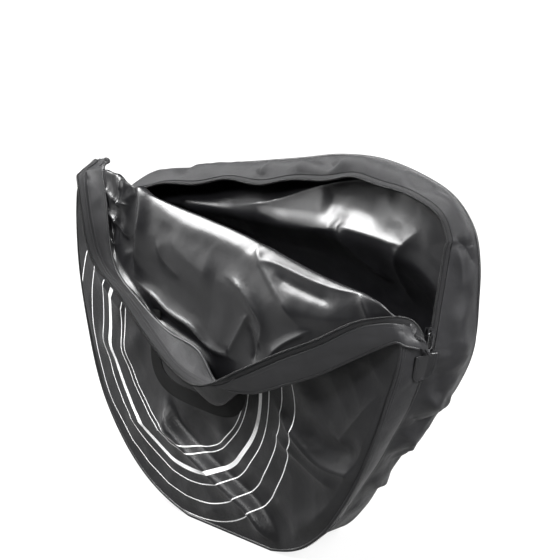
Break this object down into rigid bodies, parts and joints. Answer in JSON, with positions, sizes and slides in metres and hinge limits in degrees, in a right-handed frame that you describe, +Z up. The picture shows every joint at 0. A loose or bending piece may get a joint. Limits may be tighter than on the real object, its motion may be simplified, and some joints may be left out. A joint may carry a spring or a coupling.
{
  "type": "bike wheel bag",
  "caption": "Soft round zipped bag for one bicycle wheel, standing open with its front flap folded down, with webbing carry handles.",
  "frame": {"origin": "middle of the flattened lowest edge that the bag stands on", "axes": "+Z up, -Y towards the printed front panel, +X to the bag's right as the front panel is faced"},
  "size_m": [0.8113, 0.2695, 0.6301],
  "materials": {
    "outer_cloth": "black woven polyester, coated and slightly glossy on the inside",
    "panel_cloth": "black woven polyester with a thin white line print, glossy black coating on the inside",
    "piping": "black tape over a round cord",
    "zip_tape": "black woven tape",
    "zip_coil": "black nylon coil",
    "webbing": "black woven webbing",
    "zip_metal": "dark grey plated zinc and steel wire"
  },
  "bodies": {
    "shell": {"front_panel": "panel_cloth", "rear_panel": "outer_cloth", "front_gusset": "outer_cloth", "rear_gusset": "outer_cloth", "gusset_seam_tape": "zip_tape", "front_piping": "piping", "rear_piping": "piping", "rear_zip_tape": "zip_tape", "rear_zip_coil": "zip_coil", "ear_zip_tape_left": "zip_tape", "ear_zip_tape_right": "zip_tape", "ear_zip_coil_left": "zip_coil", "ear_zip_coil_right": "zip_coil", "zip_end_patch_left": "outer_cloth", "zip_end_patch_right": "outer_cloth", "zip_bottom_stop": "zip_metal", "rear_handle_tab_left": "webbing", "rear_handle_tab_right": "webbing"},
    "flap": {"flap_panel": "panel_cloth", "flap_gusset": "outer_cloth", "flap_zip_tape": "zip_tape", "flap_zip_coil": "zip_coil", "flap_piping": "piping", "front_handle_tab_left": "webbing", "front_handle_tab_right": "webbing"},
    "front_handle": {"front_handle": "webbing"},
    "rear_handle": {"rear_handle": "webbing"},
    "slider": {"slider_body": "zip_metal"},
    "pull": {"pull_loop": "zip_metal"}
  },
  "joints": [
    {"name": "flap_fold", "type": "hinge", "parent": "shell", "child": "flap", "pos_m": [0, -0.07, 0.452], "axis": [1, 0, 0], "range_deg": [-159, 0]},
    {"name": "slider_run", "type": "slide", "parent": "shell", "child": "slider", "axis": [0, 0.2022, 0.9793], "range_m": [-0.015, 0.12]},
    {"name": "pull_swing", "type": "hinge", "parent": "slider", "child": "pull", "pos_m": [0.4005, -0.01797, 0.42902], "axis": [0, 0.9793, -0.2022], "range_deg": [-170, 0]},
    {"name": "front_handle_swing", "type": "hinge", "parent": "flap", "child": "front_handle", "pos_m": [-0.042, -0.113, 0.287], "axis": [1, 0, 0], "range_deg": [-24, 12]},
    {"name": "rear_handle_swing", "type": "hinge", "parent": "shell", "child": "rear_handle", "pos_m": [0.06, 0.076, 0.54396], "axis": [0.9606, 0, 0.2778], "range_deg": [-18, 160]}
  ]
}
